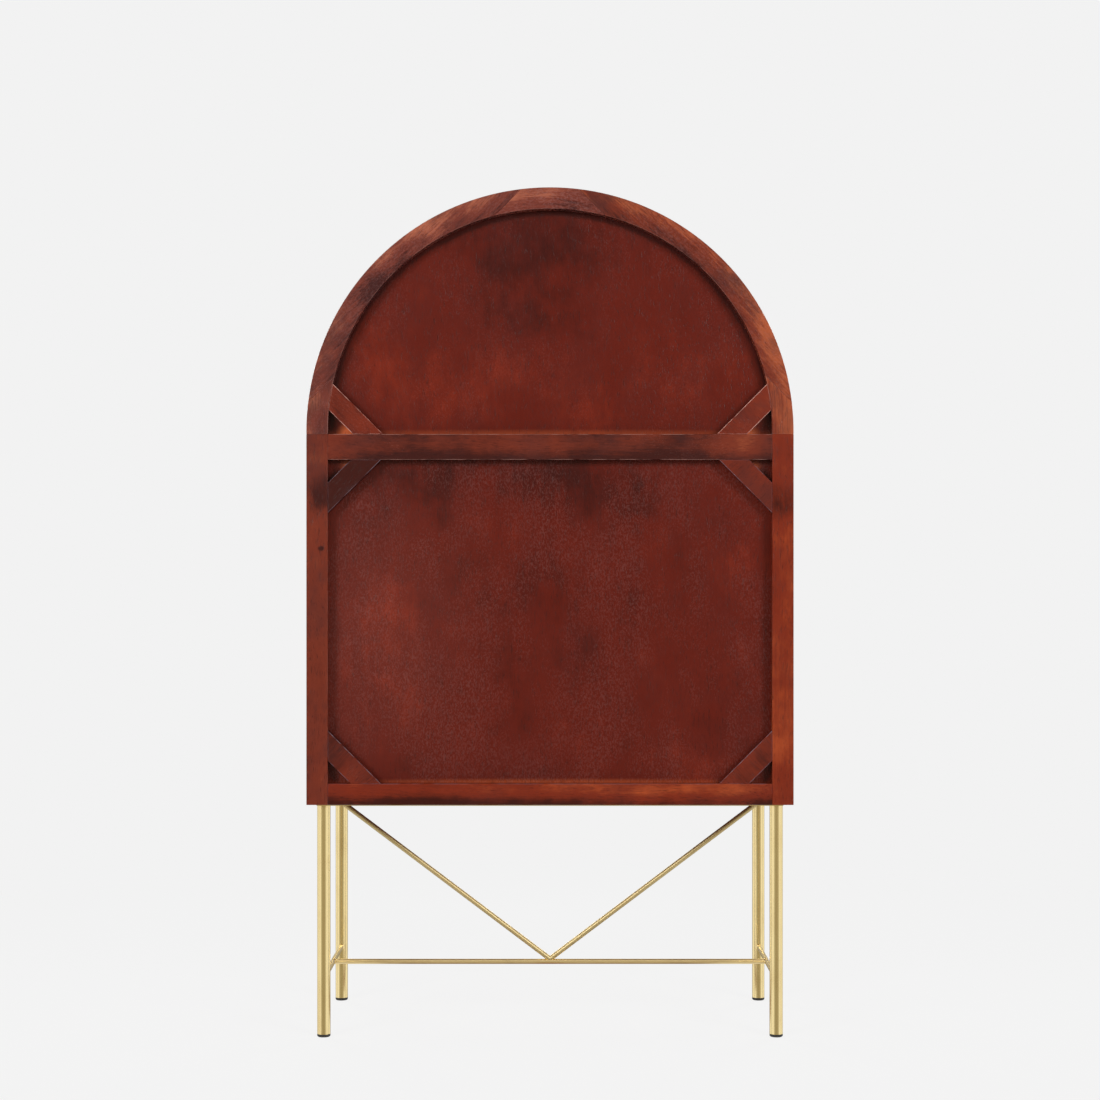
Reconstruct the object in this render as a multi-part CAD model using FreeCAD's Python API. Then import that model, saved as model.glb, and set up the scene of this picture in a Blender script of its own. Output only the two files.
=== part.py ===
import FreeCAD, Part
import math
import os

# An arched bar cabinet on a slim tubular stand.
# The case is a shell of boards with a round-headed frame on its back and another on its front.
# Two inset doors, each with a quarter arch for a head, swing on knuckled butt hinges.
# Origin on the floor under the middle of the outline, +Z up, doors towards -Y, left is -X.

# Overall sizes, in millimetres.
overall_width = 915.0
overall_height = 1600.0
case_depth = 406.0
stand_height = 440.0

# Boards of the case.
board = 20.0
back_panel_thickness = 9.0
back_panel_rebate = 6.0
tongue_length = 5.0
tongue_thickness = 10.0

# Bars of the round-headed frames on the back and the front.
bar_width = 40.0
rear_frame_depth = 25.0
front_frame_depth = 22.0
mid_rail_height = 48.0
arch_stilt = 6.0
arch_plank_width = 98.0
brace_width = 40.0
brace_reach = 100.0
arch_brace_reach = 104.0

# Doors.
door_thickness = 20.0
door_gap = 2.0
door_middle_gap = 3.0
door_stile_width = 50.0
door_bottom_rail_height = 70.0
door_plank_width = 106.0
door_panel_thickness = 8.0
panel_groove_depth = 8.0
panel_edge_clearance = 1.5

# Knobs, turned, on the two meeting stiles.
knob_projection = 26.0
knob_radius = 14.0
knob_rim = 3.0
knob_crown = 4.0
knob_neck_radius = 5.5
knob_rose_radius = 13.0
knob_rose_height = 2.5
knob_height_share = 0.44

# Butt hinges, two to a door.
hinge_height = 64.0
hinge_leaf_thickness = 1.6
hinge_leaf_width = 17.0
hinge_leaf_gap = 0.3
hinge_barrel_radius = 4.5
hinge_barrel_stand_off = 0.8
hinge_pin_radius = 2.0
hinge_knuckles = 3
hinge_knuckle_gap = 0.3
hinge_height_shares = (0.12, 0.88)

# Magnetic catches under the middle shelf, and the plates on the doors that they hold.
catch_width = 34.0
catch_height = 14.0
catch_depth = 13.0
catch_gap = 0.3
strike_width = 28.0
strike_height = 12.0
strike_thickness = 1.5

# Shelves.
shelf_thickness = 20.0
lower_shelf_height_share = 0.525
shelf_end_clearance = 1.0
shelf_edge_clearance = 2.0
shelf_pin_radius = 3.0
shelf_pin_reach = 8.0
shelf_pin_depth = 9.0
shelf_pin_setback = 50.0

# Rails under the middle shelf that glasses hang from by the foot.
stem_rails = 6
stem_slot_width = 36.0
stem_web_width = 14.0
stem_web_height = 16.0
stem_flange_width = 54.0
stem_flange_thickness = 8.0
stem_rail_setback = 22.0

# Stand.
leg_radius = 12.5
leg_wall = 1.5
leg_inset_x = 30.0
leg_inset_y = 28.0
top_bar_thickness = 3.0
rod_radius = 5.0
stretcher_height = 110.0
glide_height = 5.0
glide_edge = 1.5
glide_plug_length = 14.0
screw_radius = 2.0
screw_head_radius = 4.5
screw_head_height = 2.5
screw_bite = 13.0
screw_share = 0.6

# Fits, and the overrun of every cut.
running_clearance = 0.05
screw_clearance = 0.5
overrun = 5.0

# Planes and radii that the sizes above give.
arch_radius = overall_width / 2
spring_z = overall_height - arch_radius
inside = arch_radius - board
opening = arch_radius - bar_width
rear_y = (case_depth + knob_projection) / 2
front_y = rear_y - case_depth
middle_y = (rear_y + front_y) / 2
shell_rear_y = rear_y - rear_frame_depth
shell_front_y = front_y + front_frame_depth
panel_front_y = shell_rear_y - back_panel_thickness
floor_z = stand_height + board
sill_z = stand_height + bar_width
joint_z = spring_z - arch_stilt
mid_rail_z = joint_z - mid_rail_height
mid_shelf_z = joint_z - (mid_rail_height + shelf_thickness) / 2
panel_joint_z = mid_shelf_z + shelf_thickness / 2
lower_shelf_z = floor_z + lower_shelf_height_share * (mid_shelf_z - floor_z)
stem_rail_spacing = stem_flange_width + stem_slot_width
door_radius = opening - door_gap
door_inner_radius = door_radius - door_stile_width
door_middle = door_middle_gap / 2
door_bottom_z = sill_z + door_gap
door_rear_y = front_y + door_thickness
stile_x = door_middle + door_stile_width / 2
hinge_x = opening - door_gap / 2
hinge_y = front_y - hinge_barrel_radius - hinge_barrel_stand_off
leg_x = arch_radius - leg_inset_x
leg_front_y = front_y + leg_inset_y
leg_rear_y = rear_y - leg_inset_y
top_bar_z = stand_height - top_bar_thickness

rear_frame = (shell_rear_y, rear_y)
front_frame = (front_y, shell_front_y)
shell = (shell_front_y, shell_rear_y)
door = (front_y, door_rear_y)

LEFT, RIGHT = -1, 1


def at(x, y, z):
    return FreeCAD.Vector(x, y, z)


def block(xs, ys, zs):
    """A straight bar or board between two places on each axis, given in any order."""
    low = [min(pair) for pair in (xs, ys, zs)]
    high = [max(pair) for pair in (xs, ys, zs)]
    return Part.makeBox(*[top - base for base, top in zip(low, high)], at(*low))


def plate(corners, ys):
    """A board sawn to the corners (x, z) seen from the front, between two depths."""
    points = [at(x, ys[0], z) for x, z in corners]
    face = Part.Face(Part.makePolygon(points + points[:1]))
    return face.extrude(at(0, ys[1] - ys[0], 0))


def rod(start, end, radius):
    """A round bar between the centres of its two ends."""
    along = end.sub(start)
    return Part.makeCylinder(radius, along.Length, start, along)


def turned(profile, centre, axis):
    """A lathe-turned piece: (radius, run) points of its profile, about an axis through centre."""
    points = [at(radius, 0, run) for radius, run in profile]
    solid = Part.Face(Part.makePolygon(points + points[:1])).revolve(at(0, 0, 0), at(0, 0, 1), 360)
    solid.Placement = FreeCAD.Placement(centre, FreeCAD.Rotation(at(0, 0, 1), axis))
    return solid


def head_arc(radius, y, side):
    """Half a circle over the springing line, drawn from the given side to the other one."""
    start = at(side * radius, y, spring_z)
    crown = at(0, y, spring_z + radius)
    end = at(-side * radius, y, spring_z)
    return Part.Arc(start, crown, end).toShape()


def half_disc(radius, ys):
    """The board that fills a half circle over the springing line."""
    base = Part.LineSegment(at(radius, ys[0], spring_z), at(-radius, ys[0], spring_z)).toShape()
    face = Part.Face(Part.Wire([head_arc(radius, ys[0], LEFT), base]))
    return face.extrude(at(0, ys[1] - ys[0], 0))


def half_ring(inner, outer, ys):
    """A half-round bar over the springing line."""
    y = ys[0]
    right_foot = Part.LineSegment(at(outer, y, spring_z), at(inner, y, spring_z)).toShape()
    left_foot = Part.LineSegment(at(-inner, y, spring_z), at(-outer, y, spring_z)).toShape()
    wire = Part.Wire([head_arc(outer, y, LEFT), right_foot, head_arc(inner, y, RIGHT), left_foot])
    return Part.Face(wire).extrude(at(0, ys[1] - ys[0], 0))


def diagonal_plank(side, width, radius, ys):
    """A straight plank at 45 degrees over one quarter of an arch, flush with the arch at its middle."""
    lean = math.sqrt(0.5)
    corners = []
    for out, along in ((radius - width, -radius), (radius - width, radius),
                       (radius + overrun, radius), (radius + overrun, -radius)):
        corners.append((side * lean * (out - along), spring_z + lean * (out + along)))
    return plate(corners, ys)


def by_x(shape):
    """The separate solids of a shape, from left to right."""
    return sorted(shape.Solids, key=lambda solid: solid.CenterOfMass.x)


def mirrored(shape):
    return shape.mirror(at(0, 0, 0), at(1, 0, 0))


def save(name, *solids):
    """Writes one sub-part, which may be a group of separate solids."""
    pieces = [solid for shape in solids for solid in shape.Solids]
    shape = pieces[0] if len(pieces) == 1 else Part.makeCompound(pieces)
    shape.exportStep(os.path.join("parts", name + ".step"))


def save_pair(name, left):
    """Writes a left-hand sub-part and its mirror image."""
    save(name + "_left", left)
    save(name + "_right", mirrored(left))


def arch_pieces(ys):
    """The round head of a frame: two diagonal planks, with a foot under each and a crown between.

    Each plank's straight inner edge is the splayed joint to the foot and to the crown.
    The foot runs straight down from the springing line to the stile."""
    ring = half_ring(opening, arch_radius, ys)
    planks = [diagonal_plank(side, arch_plank_width, arch_radius, ys) for side in (LEFT, RIGHT)]
    foot, crown, _ = by_x(ring.cut(planks))
    stilt = block((-arch_radius, -opening), ys, (joint_z, spring_z))
    return foot.fuse(stilt).removeSplitter(), ring.common(planks[0]), crown


def frame_stile(ys):
    return block((-arch_radius, -opening), ys, (stand_height, joint_z))


def frame_bottom_rail(ys):
    return block((-opening, opening), ys, (stand_height, sill_z))


def corner_brace(corner_z, up):
    """The 45 degree brace of a left-hand corner, its ends flush with the stile and the rail."""
    inner_reach = brace_reach - brace_width * math.sqrt(2)
    corners = [(-opening + brace_reach, corner_z), (-opening, corner_z + up * brace_reach),
               (-opening, corner_z + up * inner_reach), (-opening + inner_reach, corner_z)]
    return plate(corners, rear_frame)


def arch_brace():
    """The brace on top of the middle rail, its outer end sawn to the curve of the arch."""
    inner_reach = arch_brace_reach - brace_width * math.sqrt(2)
    past = -opening - bar_width
    corners = [(-opening + arch_brace_reach, joint_z), (past, joint_z + arch_brace_reach + bar_width),
               (past, joint_z + inner_reach + bar_width), (-opening + inner_reach, joint_z)]
    over_rail = block((-opening, opening), rear_frame, (joint_z, spring_z))
    within = half_disc(opening, rear_frame).fuse(over_rail)
    return plate(corners, rear_frame).common(within).removeSplitter()


def build_rear_frame():
    foot, quarter, crown = arch_pieces(rear_frame)
    save_pair("rear_stile", frame_stile(rear_frame))
    save_pair("rear_arch_foot", foot)
    save_pair("rear_arch_quarter", quarter)
    save("rear_arch_crown", crown)
    save("rear_bottom_rail", frame_bottom_rail(rear_frame))
    save("rear_mid_rail", block((-opening, opening), rear_frame, (mid_rail_z, joint_z)))
    save_pair("corner_brace_upper", arch_brace())
    save_pair("corner_brace_middle", corner_brace(mid_rail_z, -1))
    save_pair("corner_brace_bottom", corner_brace(sill_z, 1))


def hinge_places():
    """The lower end of each hinge, shared out over the straight part of the stile."""
    run = spring_z - door_bottom_z - hinge_height
    return [door_bottom_z + share * run for share in hinge_height_shares]


def hinge_mortises(side):
    """The shallow recesses that the leaves lie in: side LEFT in the case, side RIGHT in the door."""
    face = -hinge_x + side * (hinge_leaf_gap / 2 + hinge_leaf_thickness)
    ys = (front_y - overrun, front_y + hinge_leaf_width)
    return [block((face, -hinge_x), ys, (z, z + hinge_height)) for z in hinge_places()]


def hinge_leaf(side, z):
    """One leaf of a left-hand hinge: a plate, and the knuckles that wrap the pin."""
    xs = [-hinge_x + side * (hinge_leaf_gap / 2 + run) for run in (0, hinge_leaf_thickness)]
    leaf = block(xs, (front_y, front_y + hinge_leaf_width), (z, z + hinge_height))
    pitch = (hinge_height + hinge_knuckle_gap) / hinge_knuckles
    first = 0 if side == LEFT else 1
    for index in range(first, hinge_knuckles, 2):
        low = z + index * pitch
        high = low + pitch - hinge_knuckle_gap
        barrel = rod(at(-hinge_x, hinge_y, low), at(-hinge_x, hinge_y, high), hinge_barrel_radius)
        leaf = leaf.fuse([barrel, block(xs, (hinge_y, front_y), (low, high))])
    bore_ends = [at(-hinge_x, hinge_y, end) for end in (z - overrun, z + hinge_height + overrun)]
    return leaf.cut(rod(*bore_ends, hinge_pin_radius + running_clearance)).removeSplitter()


def hinge_pin(z):
    """The fixed pin, flush with the outer knuckles."""
    ends = [at(-hinge_x, hinge_y, end) for end in (z, z + hinge_height)]
    return rod(*ends, hinge_pin_radius)


def build_hinges():
    places = hinge_places()
    case_leaves = [hinge_leaf(LEFT, z) for z in places]
    save("hinge_case_leaves", *case_leaves, *[mirrored(leaf) for leaf in case_leaves])
    pins = [hinge_pin(z) for z in places]
    save("hinge_pins", *pins, *[mirrored(pin) for pin in pins])
    door_leaves = Part.makeCompound([hinge_leaf(RIGHT, z) for z in places])
    save_pair("door_hinge_leaves", door_leaves)


def build_front_frame():
    foot, quarter, crown = arch_pieces(front_frame)
    save_pair("front_stile", frame_stile(front_frame).cut(hinge_mortises(LEFT)))
    save_pair("front_arch", Part.makeCompound([foot, quarter]))
    save("front_arch_crown", crown)
    save("front_bottom_rail", frame_bottom_rail(front_frame))


def shelf_pin_places():
    """The centres (y, z) of the two pins in a side panel, which the lower shelf lies on."""
    z = lower_shelf_z - shelf_pin_radius
    return [(shell_front_y + shelf_pin_setback, z), (panel_front_y - shelf_pin_setback, z)]


def build_shell():
    side = block((-arch_radius, -inside), shell, (stand_height, spring_z))
    groove = block((-inside - tongue_length, 0), shell, (mid_shelf_z, mid_shelf_z + tongue_thickness))
    holes = []
    for y, z in shelf_pin_places():
        ends = [at(-inside - reach, y, z) for reach in (shelf_pin_depth, -overrun)]
        holes.append(rod(*ends, shelf_pin_radius + running_clearance))
    save_pair("side_panel", side.cut([groove] + holes))
    save("arch_shell", half_ring(inside, arch_radius, shell))

    panel = (panel_front_y, shell_rear_y)
    lower_panel = block((-inside, inside), panel, (floor_z - back_panel_rebate, panel_joint_z))
    save("back_panel_lower", lower_panel)
    bottom = block((-inside, inside), shell, (stand_height, floor_z)).cut(lower_panel)
    pilots = [screw_hole(place, screw_radius + running_clearance) for place in screw_places()]
    save("bottom_panel", bottom.cut(pilots))

    foot = block((-inside, inside), panel, (panel_joint_z, spring_z))
    save("back_panel_upper", foot.fuse(half_disc(inside, panel)).removeSplitter())


def build_shelves():
    mid_ys = (shell_front_y, panel_front_y)
    mid = block((-inside, inside), mid_ys, (mid_shelf_z, mid_shelf_z + shelf_thickness))
    tongue_reach = inside + tongue_length
    tongues = block((-tongue_reach, tongue_reach), mid_ys, (mid_shelf_z, mid_shelf_z + tongue_thickness))
    save("mid_shelf", mid.fuse(tongues).removeSplitter())

    lower_half = inside - shelf_end_clearance
    lower_ys = (shell_front_y + shelf_edge_clearance, panel_front_y - shelf_edge_clearance)
    lower_zs = (lower_shelf_z, lower_shelf_z + shelf_thickness)
    save("lower_shelf", block((-lower_half, lower_half), lower_ys, lower_zs))

    pins = []
    for y, z in shelf_pin_places():
        ends = [at(-inside + reach, y, z) for reach in (-shelf_pin_depth, shelf_pin_reach)]
        pin = rod(*ends, shelf_pin_radius)
        pins += [pin, mirrored(pin)]
    save("shelf_pins", *pins)


def build_stem_rails():
    """Tee rails that run from front to back: a web under the shelf, and a wider flange under it."""
    ys = (shell_front_y + stem_rail_setback, panel_front_y)
    flange_top = mid_shelf_z - stem_web_height
    strips = []
    for index in range(stem_rails):
        x = (index - (stem_rails - 1) / 2) * stem_rail_spacing
        web = (x - stem_web_width / 2, x + stem_web_width / 2)
        flange = (x - stem_flange_width / 2, x + stem_flange_width / 2)
        strips.append(block(web, ys, (flange_top, mid_shelf_z)))
        strips.append(block(flange, ys, (flange_top - stem_flange_thickness, flange_top)))
    save("stemware_rails", *strips)


def build_catches():
    xs = (-stile_x - catch_width / 2, -stile_x + catch_width / 2)
    catch_y = door_rear_y + strike_thickness + catch_gap
    catch = block(xs, (catch_y, catch_y + catch_depth), (mid_shelf_z - catch_height, mid_shelf_z))
    save("magnetic_catches", catch, mirrored(catch))

    middle_z = mid_shelf_z - catch_height / 2
    xs = (-stile_x - strike_width / 2, -stile_x + strike_width / 2)
    zs = (middle_z - strike_height / 2, middle_z + strike_height / 2)
    save_pair("strike_plate", block(xs, (door_rear_y, door_rear_y + strike_thickness), zs))


def door_outline(left, right, bottom, radius, ys):
    """The left door's outline between two uprights, over a bottom edge and under a quarter arch."""
    straight = block((-left, -right), ys, (bottom, spring_z))
    head = half_disc(radius, ys).common(block((-left, -right), ys, (spring_z, spring_z + radius)))
    return straight.fuse(head).removeSplitter()


def door_panel(grow):
    """The panel in its groove, or with grow the groove that is cut for it."""
    edge = panel_groove_depth - panel_edge_clearance + grow
    middle = (front_y + door_rear_y) / 2
    ys = (middle - door_panel_thickness / 2, middle + door_panel_thickness / 2)
    left = door_inner_radius + edge
    right = door_middle + door_stile_width - edge
    bottom = door_bottom_z + door_bottom_rail_height - edge
    return door_outline(left, right, bottom, left, ys)


def knob():
    """A turned mushroom knob on a flat rose."""
    neck = knob_projection - knob_crown - knob_rim
    profile = [(0, 0), (knob_rose_radius, 0), (knob_rose_radius, knob_rose_height),
               (knob_neck_radius, knob_rose_height), (knob_neck_radius, neck - knob_rim),
               (knob_radius - knob_rim, neck), (knob_radius, neck + knob_rim / 2),
               (knob_radius, neck + knob_rim), (knob_radius - knob_crown, knob_projection),
               (0, knob_projection)]
    z = door_bottom_z + knob_height_share * (spring_z + door_radius - door_bottom_z)
    return turned(profile, at(-stile_x, front_y, z), at(0, -1, 0))


def build_doors():
    groove = door_panel(panel_edge_clearance)
    inner_x = door_middle + door_stile_width
    ring = half_ring(door_inner_radius, door_radius, door)
    plank = diagonal_plank(LEFT, door_plank_width, door_radius, door)
    foot = by_x(ring.cut(plank))[0]

    hinge_stile = block((-door_radius, -door_inner_radius), door, (door_bottom_z, spring_z))
    hinge_stile = hinge_stile.fuse(foot).removeSplitter().cut([groove] + hinge_mortises(RIGHT))
    save_pair("door_hinge_stile", hinge_stile)

    quarter = block((-door_radius, -inner_x), door, (spring_z, spring_z + door_radius))
    save_pair("door_arch_rail", ring.common(quarter).cut([foot, groove]))

    meeting = door_outline(inner_x, door_middle, door_bottom_z, door_radius, door)
    save_pair("door_meeting_stile", meeting.cut(groove))

    bottom_z = door_bottom_z + door_bottom_rail_height
    bottom = block((-door_inner_radius, -inner_x), door, (door_bottom_z, bottom_z))
    save_pair("door_bottom_rail", bottom.cut(groove))

    save_pair("door_panel", door_panel(0))
    save_pair("door_knob", knob())


def leg_places():
    return [(side * leg_x, y) for side in (LEFT, RIGHT) for y in (leg_front_y, leg_rear_y)]


def screw_places():
    """Two screws through each of the long flat bars on top of the stand."""
    return [(side * screw_share * leg_x, y) for side in (LEFT, RIGHT) for y in (leg_front_y, leg_rear_y)]


def screw_hole(place, radius):
    """A hole from under the bars to the tip of the screw."""
    x, y = place
    return rod(at(x, y, top_bar_z - overrun), at(x, y, stand_height + screw_bite), radius)


def screw_head(place):
    """The countersunk head, flush with the underside of the bar."""
    x, y = place
    return Part.makeCone(screw_head_radius, screw_radius, screw_head_height, at(x, y, top_bar_z))


def stand_screw(place):
    x, y = place
    shank = rod(at(x, y, top_bar_z), at(x, y, stand_height + screw_bite), screw_radius)
    return shank.fuse(screw_head(place)).removeSplitter()


def top_bars():
    """Four flat bars, mitred at the corners, that carry the case on the four legs."""
    half_x = leg_x + leg_radius
    half_y = (leg_rear_y - leg_front_y) / 2 + leg_radius
    width = 2 * leg_radius
    bars = []
    for side in (LEFT, RIGHT):
        long_bar = [(-half_x, half_y), (half_x, half_y),
                    (half_x - width, half_y - width), (-half_x + width, half_y - width)]
        side_bar = [(half_x, -half_y), (half_x, half_y),
                    (half_x - width, half_y - width), (half_x - width, -half_y + width)]
        for corners in (long_bar, side_bar):
            points = [at(side * x, middle_y + side * y, top_bar_z) for x, y in corners]
            face = Part.Face(Part.makePolygon(points + points[:1]))
            bars.append(face.extrude(at(0, 0, top_bar_thickness)))
    holes = []
    for place in screw_places():
        holes += [screw_hole(place, screw_radius + screw_clearance), screw_head(place)]
    return [bar.cut(holes) for bar in bars]


def glide(x, y):
    """A foot with a softened edge, and the plug that holds it in the tube."""
    plug_radius = leg_radius - leg_wall - running_clearance
    top = glide_height + glide_plug_length
    profile = [(0, 0), (leg_radius - glide_edge, 0), (leg_radius, glide_edge), (leg_radius, glide_height),
               (plug_radius, glide_height), (plug_radius, top), (0, top)]
    return turned(profile, at(x, y, 0), at(0, 0, 1))


def build_stand():
    names = {LEFT: "left", RIGHT: "right"}
    tubes = []
    for x, y in leg_places():
        ends = [at(x, y, glide_height), at(x, y, top_bar_z)]
        tube = rod(*ends, leg_radius)
        tubes.append(tube)
        place = "front" if y < middle_y else "rear"
        side = names[LEFT if x < 0 else RIGHT]
        save("leg_" + place + "_" + side, tube.cut(rod(*ends, leg_radius - leg_wall)))
    save("foot_glides", *[glide(x, y) for x, y in leg_places()])
    save("stand_top_bars", *top_bars())
    save("stand_screws", *[stand_screw(place) for place in screw_places()])

    side_rods = []
    for side in (LEFT, RIGHT):
        ends = [at(side * leg_x, y, stretcher_height) for y in (leg_front_y, leg_rear_y)]
        side_rods.append(rod(*ends, rod_radius))
    save("side_stretchers", *[side_rod.cut(tubes) for side_rod in side_rods])

    ends = [at(side * leg_x, middle_y, stretcher_height) for side in (LEFT, RIGHT)]
    long_rod = rod(*ends, rod_radius)
    save("long_stretcher", long_rod.cut(side_rods))

    foot = at(0, middle_y, stretcher_height + rod_radius)
    head = at(-leg_x, middle_y, top_bar_z)
    past = head.sub(foot)
    past.multiply(overrun / past.Length)
    half_depth = rod_radius + overrun
    reach = block((-leg_x - leg_radius, 0), (middle_y - half_depth, middle_y + half_depth),
                  (stretcher_height, top_bar_z))
    brace = rod(foot.sub(past), head.add(past), rod_radius).common(reach).cut(long_rod)
    save("v_brace_rods", brace, mirrored(brace))


def main():
    os.makedirs("parts", exist_ok=True)
    build_stand()
    build_shell()
    build_rear_frame()
    build_front_frame()
    build_shelves()
    build_stem_rails()
    build_catches()
    build_hinges()
    build_doors()


main()
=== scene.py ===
import math
import bmesh
import bpy
from mathutils import Matrix, Vector


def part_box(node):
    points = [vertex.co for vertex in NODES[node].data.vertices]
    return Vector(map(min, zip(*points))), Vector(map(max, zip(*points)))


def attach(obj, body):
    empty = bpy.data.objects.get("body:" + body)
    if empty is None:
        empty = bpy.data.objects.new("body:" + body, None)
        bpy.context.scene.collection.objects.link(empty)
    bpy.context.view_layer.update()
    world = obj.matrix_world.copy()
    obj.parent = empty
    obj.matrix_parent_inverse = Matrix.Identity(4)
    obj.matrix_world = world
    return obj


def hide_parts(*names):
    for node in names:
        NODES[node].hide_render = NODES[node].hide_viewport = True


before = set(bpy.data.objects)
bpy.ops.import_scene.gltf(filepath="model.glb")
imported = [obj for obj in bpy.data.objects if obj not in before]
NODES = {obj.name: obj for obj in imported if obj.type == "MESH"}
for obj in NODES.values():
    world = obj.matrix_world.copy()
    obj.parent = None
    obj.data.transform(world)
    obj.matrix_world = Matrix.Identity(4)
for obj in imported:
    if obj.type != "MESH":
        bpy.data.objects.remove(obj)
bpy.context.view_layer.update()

# The looks of an arched bar cabinet on a tubular stand: stained wood, satin brass, screws and knobs.
# Metres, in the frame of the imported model: doors towards -Y, the framed back towards +Y.

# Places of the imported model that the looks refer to.
arch_low, arch_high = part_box("arch_shell")
rail_low, rail_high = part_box("rear_mid_rail")
stile_low, stile_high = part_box("rear_stile_left")
ARCH_CENTRE = Vector((0, 0, arch_low.z))
RING_OUTER = arch_high.x
RING_INNER = RING_OUTER - (stile_high.x - stile_low.x)
REAR_FACE = rail_high.y
PANEL_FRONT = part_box("back_panel_upper")[0].y
SILL_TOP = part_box("rear_bottom_rail")[1].z


def srgb(red, green, blue):
    """A colour from 8-bit display values, in the linear values that shaders take."""
    def linear(value):
        """The curve of the sRGB standard."""
        value /= 255
        return value / 12.92 if value <= 0.04045 else ((value + 0.055) / 1.055) ** 2.4
    return (linear(red), linear(green), linear(blue), 1)


# Node trees

def add_node(tree, kind, inputs=None, **settings):
    """Adds a node, sets its properties, then gives its sockets values or links them."""
    node = tree.nodes.new(kind)
    for name, value in settings.items():
        setattr(node, name, value)
    for socket, value in (inputs or {}).items():
        if isinstance(value, bpy.types.NodeSocket):
            tree.links.new(value, node.inputs[socket])
        else:
            node.inputs[socket].default_value = value
    return node


def maths(tree, operation, first, second=0.0, third=0.0):
    """The result of a sum on numbers or sockets."""
    node = add_node(tree, "ShaderNodeMath", {0: first, 1: second, 2: third}, operation=operation)
    return node.outputs[0]


def weighted_sum(tree, start, *terms):
    """Adds to a start each value times its weight."""
    total = start
    for value, weight in terms:
        total = maths(tree, "MULTIPLY_ADD", value, weight, total)
    return total


def vector_maths(tree, operation, first, second):
    """The result of a sum on vectors or sockets."""
    node = add_node(tree, "ShaderNodeVectorMath", {0: first, 1: second}, operation=operation)
    return node.outputs[0]


def length(tree, vector):
    """How long a vector is."""
    return add_node(tree, "ShaderNodeVectorMath", {0: vector}, operation="LENGTH").outputs["Value"]


def split_axes(tree, vector):
    """The X, Y and Z of a vector, by name."""
    return add_node(tree, "ShaderNodeSeparateXYZ", {0: vector}).outputs


def join_axes(tree, **axes):
    """A vector from some of X, Y and Z. An axis that isn't named is 0."""
    return add_node(tree, "ShaderNodeCombineXYZ", axes).outputs[0]


def place_on_piece(tree):
    """Where the shaded point lies on its piece, in metres."""
    return add_node(tree, "ShaderNodeTexCoord").outputs["Object"]


def place_in_arch(tree):
    """Where the shaded point lies on its piece, from the middle of the arch."""
    return vector_maths(tree, "SUBTRACT", place_on_piece(tree), tuple(ARCH_CENTRE))


def noise(tree, vector, scale, detail=2.0, roughness=0.5):
    """Noise from 0 to 1. The scale is a number for each axis, in cells to the metre."""
    spread = vector_maths(tree, "MULTIPLY", vector, scale)
    inputs = {"Vector": spread, "Scale": 1.0, "Detail": detail, "Roughness": roughness}
    return add_node(tree, "ShaderNodeTexNoise", inputs).outputs["Fac"]


def centred(tree, value):
    """Moves noise from 0 to 1 down to -0.5 to 0.5."""
    return maths(tree, "SUBTRACT", value, 0.5)


def between(tree, value, low, high):
    """Runs smoothly from 0 to 1 as the value goes from low to high."""
    inputs = {"Value": value, "From Min": low, "From Max": high}
    node = add_node(tree, "ShaderNodeMapRange", inputs, interpolation_type="SMOOTHSTEP")
    return node.outputs["Result"]


def mix_colour(tree, factor, first, second):
    """The first colour at factor 0, the second at factor 1.

    The node has sockets for each kind of data. The numbers are those of the sockets for colours.
    """
    inputs = {0: factor, 6: first, 7: second}
    node = add_node(tree, "ShaderNodeMix", inputs, data_type="RGBA", clamp_factor=True)
    return node.outputs[2]


def mix_shaders(tree, factor, first, second):
    """The first shader at factor 0, the second at factor 1."""
    return add_node(tree, "ShaderNodeMixShader", {0: factor, 1: first, 2: second}).outputs[0]


def bumpy_surface(tree, colour, roughness, height, strength, depth, metallic=0.0, specular=0.5):
    """A principled shader with a bump from a height, of a strength up to 1 and a depth in metres."""
    inputs = {"Strength": strength, "Distance": depth, "Height": height}
    normal = add_node(tree, "ShaderNodeBump", inputs).outputs[0]
    inputs = {"Base Color": colour, "Roughness": roughness, "Normal": normal, "Metallic": metallic,
              "Specular IOR Level": specular}
    return add_node(tree, "ShaderNodeBsdfPrincipled", inputs).outputs[0]


def new_material(name):
    """An empty material, and its node tree."""
    material = bpy.data.materials.new(name)
    material.use_nodes = True
    tree = material.node_tree
    tree.nodes.clear()
    return material, tree


def finish_tree(tree, shader, kind="ShaderNodeOutputMaterial"):
    """Links a shader to the tree's output."""
    tree.links.new(shader, add_node(tree, kind).inputs["Surface"])


# Stained wood

SMOKY_STAIN = srgb(60, 32, 32)
# Lighter wood for painted light bounced off the rails, partly bare wood.
BARE_AND_LIT_WOOD = srgb(226, 112, 64)
# Colours of worn edges, partly painted: a highlight on the rounded arris, and for the grey one a
# reflection of the pale room.
PALE_WEAR_AND_HIGHLIGHT = srgb(216, 162, 148)
GREY_WEAR_AND_REFLECTION = srgb(118, 100, 108)
# Pale specks in the pores, partly chalk and partly painted glints of raised grain.
CHALKY_PORE_AND_GLINT = srgb(150, 102, 96)
DARK_PORE = srgb(38, 12, 10)

# The deep, middle and light stain of each kind of board.
FRAME_STAIN = (srgb(58, 20, 16), srgb(112, 44, 28), srgb(164, 82, 50))
BRACE_STAIN = (srgb(58, 18, 13), srgb(114, 40, 23), srgb(168, 76, 44))
ARCH_STAIN = (srgb(60, 24, 22), srgb(112, 51, 40), srgb(164, 92, 68))
RED_STAIN = (srgb(58, 16, 10), srgb(118, 38, 18), srgb(174, 76, 36))
PANEL_STAIN = (srgb(56, 12, 8), srgb(92, 23, 12), srgb(124, 38, 19))


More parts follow.
